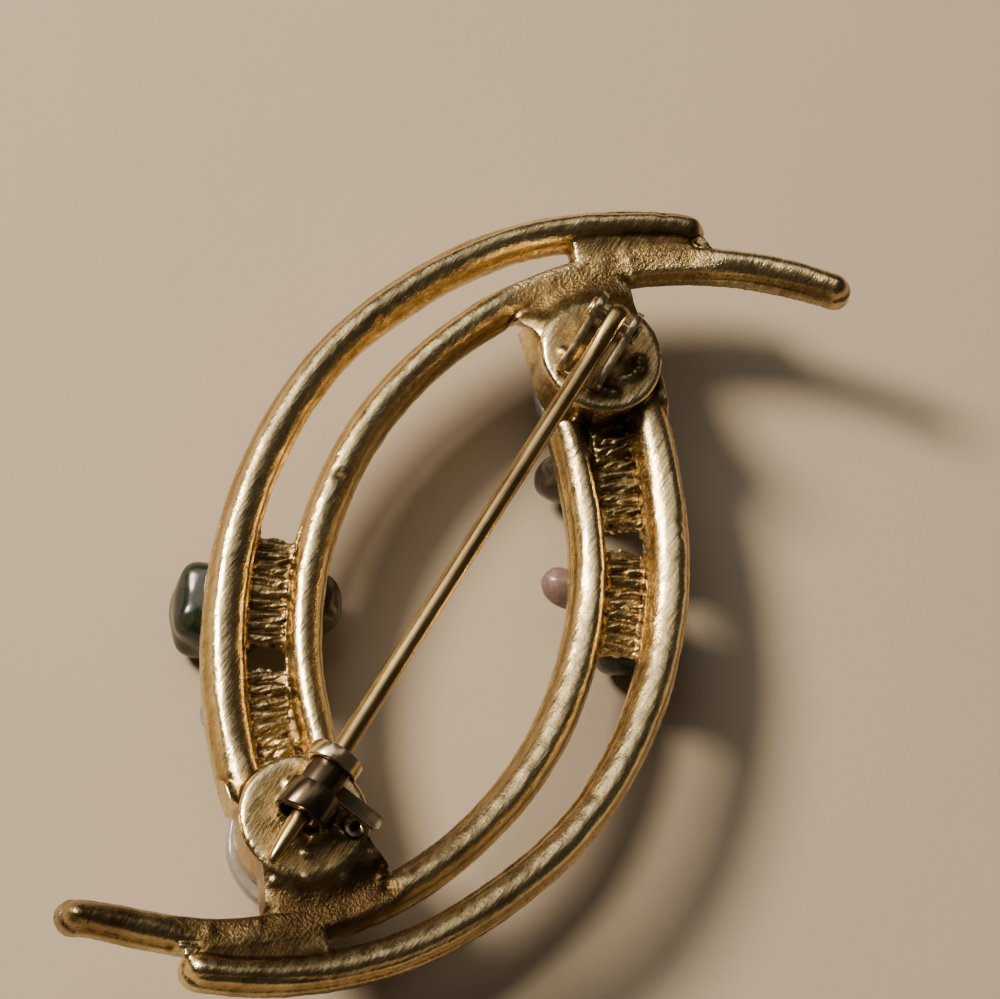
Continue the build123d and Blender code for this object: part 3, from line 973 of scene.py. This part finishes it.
def hollowLever(bm):
    # the lever is a pressed strip with a raised rim round it
    turn = pinFrame().to_3x3()
    angle = math.radians(findings["leverTurn"])
    way = (turn @ Vector((math.cos(angle), 0, math.sin(angle)))).normalized()
    across = way.cross(turn @ Vector((0, 1, 0))).normalized()
    broad = [f for f in bm.faces if abs(f.normal.dot(across)) > 0.99 and f.calc_area() > findings["broad"]]
    bmesh.ops.inset_region(bm, faces=broad, thickness=findings["rim"], depth=-findings["leverDeep"])


bracket = addObject("findings", tidyFaces(findingsShape, findings["flat"]))
softenEdges(bracket, findings["edge"])
shadeCatch(bracket, *findings["farRing"], False)
finishPiece(bracket, "brooch", findingMetal)
sleeveShape = tidyFaces(meshFromNode("catch_sleeve"), findings["flat"])
hollowLever(sleeveShape)
sleeve = addObject("catchSleeve", sleeveShape)
softenEdges(sleeve, findings["edge"])
shadeCatch(sleeve, *findings["barrel"], True)
finishPiece(sleeve, "latch", sleeveMetal, ["catch_sleeve"])
rivet = addObject("rivet", tidyFaces(meshFromNode("hinge_rivet"), findings["flat"]))
softenEdges(rivet, findings["rivetEdge"])
finishPiece(rivet, "brooch", findingMetal, ["hinge_rivet"])
print("findings softened")

# Pin: one wire that runs straight to its point and is rolled over the rivet at its other end

pin = {
    "wire": 0.6,  # radius
    "length": 43.3,
    "point": 4.0,
    "rollRadius": 0.8,
    "rollThick": 0.35,  # half its thickness, as it is flattened
    "rollWider": 0.05,  # how much wider than the wire it is, as a share of the wire
    "rollEnd": 0.75,  # and how much smaller at its cut end
    "rollTurn": 300,  # degrees round the rivet
    "straightSteps": 40,
    "bendSteps": 10,
    "rollSteps": 34,
    "bendStart": 3.6,
    # along the point from its tip, then the thickness there, as shares of the point and the wire
    "tip": ((0.0, 0.28), (0.03, 0.44), (0.2, 0.66), (0.5, 0.86), (1.0, 1.0)),
}


def pinStations():
    # local y and z, then half thickness across the roll and along the rivet
    wire = pin["wire"]
    stations = []
    for share, thick in pin["tip"]:
        stations.append((-pin["length"] + share * pin["point"], 0.0, wire * thick, wire * thick))
    start = -pin["length"] + pin["point"]
    for step in range(1, pin["straightSteps"] + 1):
        along = start + (-pin["bendStart"] - start) * step / pin["straightSteps"]
        stations.append((along, 0.03 * math.sin(along * 0.16), wire, wire))
    for step in range(1, pin["bendSteps"]):
        share = step / pin["bendSteps"]
        bend = share * share * (3 - 2 * share)
        thick = wire + (pin["rollThick"] - wire) * bend
        along = -pin["bendStart"] * (1 - share)
        stations.append((along, pin["rollRadius"] * bend, thick, wire * (1 + pin["rollWider"] * bend)))
    for step in range(pin["rollSteps"] + 1):
        angle = math.radians(pin["rollTurn"]) * step / pin["rollSteps"]
        end = 1.0 if step < pin["rollSteps"] else pin["rollEnd"]
        y = pin["rollRadius"] * math.sin(angle)
        z = pin["rollRadius"] * math.cos(angle)
        stations.append((y, z, pin["rollThick"] * end, wire * (1 + pin["rollWider"]) * end))
    return stations


def makeWire(name, stations, sides=20):
    bm = bmesh.new()
    rings = []
    for index, (y, z, thick, wide) in enumerate(stations):
        before = stations[max(index - 1, 0)]
        after = stations[min(index + 1, len(stations) - 1)]
        heading = Vector((0, after[0] - before[0], after[1] - before[1])).normalized()
        normal = Vector((1, 0, 0)).cross(heading)
        ring = []
        for side in range(sides):
            angle = 2 * math.pi * side / sides
            offset = Vector((1, 0, 0)) * wide * math.cos(angle) + normal * thick * math.sin(angle)
            ring.append(bm.verts.new(Vector((0, y, z)) + offset))
        rings.append(ring)
    for first, second in zip(rings, rings[1:]):
        for side in range(sides):
            after = (side + 1) % sides
            bm.faces.new((first[side], first[after], second[after], second[side]))
    bm.faces.new(rings[0][::-1])
    bm.faces.new(rings[-1])
    bmesh.ops.recalc_face_normals(bm, faces=bm.faces)
    bmesh.ops.transform(bm, matrix=pinFrame(), verts=bm.verts)
    return addObject(name, bm)


pinWire = makeWire("pinWire", pinStations())
finishPiece(pinWire, "pin", pinMetal, ["pin_stem"])
print("pin made")

# Stones: tumbled pebbles and two domed ones

tumbled = {
    # node: half length, half width, turn in degrees, roundness, finish
    "stone_green": (2.8, 2.95, 117.0, 3.6, "bottleGreen"),
    "stone_olive": (2.2, 2.05, 40.0, 2.3, "olive"),
    "stone_lilac": (2.25, 2.0, 120.0, 2.5, "lilac"),
    "stone_dark_green": (3.1, 2.5, 65.0, 2.2, "darkGreen"),
    "stone_black": (2.25, 1.6, 24.8, 2.3, "black"),
    "stone_pink": (2.1, 1.3, 12.0, 2.0, "pink"),
}
stoneFinish = {
    # finish: slot, colour, clouds, roughness, fineness of the clouds
    "bottleGreen": ("green_stone", (0.007, 0.012, 0.008, 1), (0.026, 0.030, 0.015, 1), 0.18, 350.0),
    "olive": ("olive_stone", (0.050, 0.042, 0.016, 1), (0.105, 0.090, 0.042, 1), 0.2, 450.0),
    "lilac": ("lilac_stone", (0.150, 0.120, 0.135, 1), (0.300, 0.255, 0.270, 1), 0.2, 500.0),
    "darkGreen": ("dark_green_stone", (0.022, 0.024, 0.010, 1), (0.060, 0.055, 0.025, 1), 0.2, 400.0),
    "black": ("black_stone", (0.016, 0.012, 0.009, 1), (0.060, 0.040, 0.020, 1), 0.18, 450.0),
    "pink": ("pink_stone", (0.150, 0.095, 0.075, 1), (0.250, 0.180, 0.150, 1), 0.22, 600.0),
    "grey": ("grey_stone", (0.050, 0.052, 0.054, 1), (0.130, 0.125, 0.120, 1), 0.15, 250.0),
}
pebble = {"rings": 56, "segments": 88, "unevenness": 0.1}
dome = {"voxel": 0.14, "rounds": 5, "waves": 0.12}  # rounds that soften its rim


def makePebble(name, node, halfLength, halfWidth, turn, roundness, seed):
    # a squared ball that fills the stone's box
    low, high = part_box(node)
    half = 0.5 / mm
    middle = (low + high) * half
    halfHeight = (high.z - low.z) * half
    bm = bmesh.new()
    bmesh.ops.create_uvsphere(bm, u_segments=pebble["segments"], v_segments=pebble["rings"], radius=1)
    for vert in bm.verts:
        power = sum(abs(value) ** roundness for value in vert.co) ** (-1 / roundness)
        vert.co = vert.co * power
        dent = noise.noise(vert.co * 1.5 + Vector((seed, 0, seed))) - 0.35
        vert.co *= 1 + dent * pebble["unevenness"]
    bmesh.ops.scale(bm, vec=(halfLength, halfWidth, halfHeight), verts=bm.verts)
    bmesh.ops.rotate(bm, matrix=Matrix.Rotation(math.radians(turn), 3, "Z"), verts=bm.verts)
    bmesh.ops.translate(bm, vec=middle, verts=bm.verts)
    bmesh.ops.recalc_face_normals(bm, faces=bm.faces)
    lowest = min(vert.co.z for vert in bm.verts)
    bmesh.ops.translate(bm, vec=(0, 0, low.z / mm - lowest), verts=bm.verts)
    return addObject(name, bm)


def roundDome(name, node, seed):
    # the domed stones keep the CAD form, with a softer rim and slow waves
    made = addObject(name, meshFromNode(node))
    remesh(made, dome["voxel"])
    mean = neighbourMeans(made.data)
    points = pointsOf(made.data)
    low, high = points.min(0), points.max(0)
    for _ in range(dome["rounds"]):
        points = mean(points)
    raised = (noiseAt(points, 0.4, seed) - 0.2) * dome["waves"]
    points = points + normalsOf(made.data) * raised[:, None]
    setPoints(made.data, np.clip(points, low, high))
    return made


for index, (node, (halfLength, halfWidth, turn, roundness, finish)) in enumerate(tumbled.items()):
    slotName, *look = stoneFinish[finish]
    stone = makePebble(finish + "Pebble", node, halfLength, halfWidth, turn, roundness, 3.7 * index)
    finishPiece(stone, "brooch", makeStone(finish, *look), [node])
slotName, *look = stoneFinish["grey"]
greyDome = roundDome("greyDome", "cabochon_upper", 9.0)
finishPiece(greyDome, "brooch", makeStone("grey", *look), ["cabochon_upper"])
glassDome = roundDome("glassDome", "cabochon_lower", 61.0)
finishPiece(glassDome, "brooch", makeClearGlass(), ["cabochon_lower"])
print("stones made")

# Floor, lights and camera

studio = {
    "floorSize": 1.6,
    "floorColour": (0.425, 0.345, 0.240, 1),
    "floorClouds": 0.94,  # brightness of its darker clouds
    "keyWay": (-1.1, -0.14, 1.0),  # from the brooch towards the key light
    "keyDistance": 0.5,
    "keySize": 0.14,
    "keyPower": 5.5,
    "keyColour": (1.0, 0.87, 0.72),
    "fillAt": (-0.5, 0.1, 0.62),
    "fillPower": 2.5,
    "fillSize": 0.7,
    "fillColour": (1.0, 0.94, 0.9),
    "topAt": (-0.1, 0.31, 0.62),
    "topPower": 0.17,
    "topSize": 0.35,
    "world": (0.050, 0.045, 0.040, 1),
    "lightsAimAt": (0, 0, 0.005),
    "cameraAt": (11.26, -105.51, 232.46),
    "lookAt": (-0.973, 7.809, 6.0),
    "cameraRoll": 29.365,
    "lens": 144.0,
    "sensor": 36.0,
}


def makeFloor():
    bm = bmesh.new()
    half = studio["floorSize"] / 2
    outline = ((-half, -half), (half, -half), (half, half), (-half, half))
    bm.faces.new([bm.verts.new((x, y, 0)) for x, y in outline])
    floor = addObject("floor", bm)
    material, tree, shader = newMaterial("palePaper", Roughness=0.75, Specular_IOR_Level=0.25)
    clouds = useGroup(tree, patches, Fineness=30.0, Low=0.3, High=0.8, Swirl=0.2)["Mask"]
    fibres = useGroup(tree, streaks, Turn=(0, 0, 0.3), Fineness=1500.0, Stretch=(1, 0.7, 1))
    base = studio["floorColour"]
    darker = tuple(channel * studio["floorClouds"] for channel in base[:3]) + (1,)
    feed(tree, shader.inputs["Base Color"], addMix(tree, clouds, base, darker))
    addBump(tree, shader, fibres["Height"], 0.03)
    floor.data.materials.append(material)


def aim(obj, at, roll=0.0):
    back = (obj.location - Vector(at)).normalized()
    turn = back.to_track_quat("Z", "Y").to_matrix().to_4x4()
    obj.matrix_world = Matrix.Translation(obj.location) @ turn @ Matrix.Rotation(math.radians(roll), 4, "Z")


def addLight(name, location, size, power, colour):
    light = bpy.data.lights.new(name, "AREA")
    light.shape = "DISK"
    light.size = size
    light.energy = power
    light.color = colour
    made = bpy.data.objects.new(name, light)
    bpy.context.collection.objects.link(made)
    made.location = location
    aim(made, studio["lightsAimAt"])


def makeCamera():
    data = bpy.data.cameras.new("photoView")
    data.lens = studio["lens"]
    data.sensor_width = studio["sensor"]
    data.clip_start = 0.01
    camera = bpy.data.objects.new("photoView", data)
    bpy.context.collection.objects.link(camera)
    camera.location = Vector(studio["cameraAt"]) * mm
    aim(camera, Vector(studio["lookAt"]) * mm, studio["cameraRoll"])
    bpy.context.scene.camera = camera


makeFloor()
keyAt = Vector(studio["keyWay"]).normalized() * studio["keyDistance"]
addLight("keyLight", keyAt, studio["keySize"], studio["keyPower"], studio["keyColour"])
addLight("fillLight", studio["fillAt"], studio["fillSize"], studio["fillPower"], studio["fillColour"])
addLight("topLight", studio["topAt"], studio["topSize"], studio["topPower"], studio["fillColour"])
world = bpy.data.worlds.new("room")
world.use_nodes = True
world.node_tree.nodes["Background"].inputs[0].default_value = studio["world"]
bpy.context.scene.world = world
makeCamera()
print("studio set")
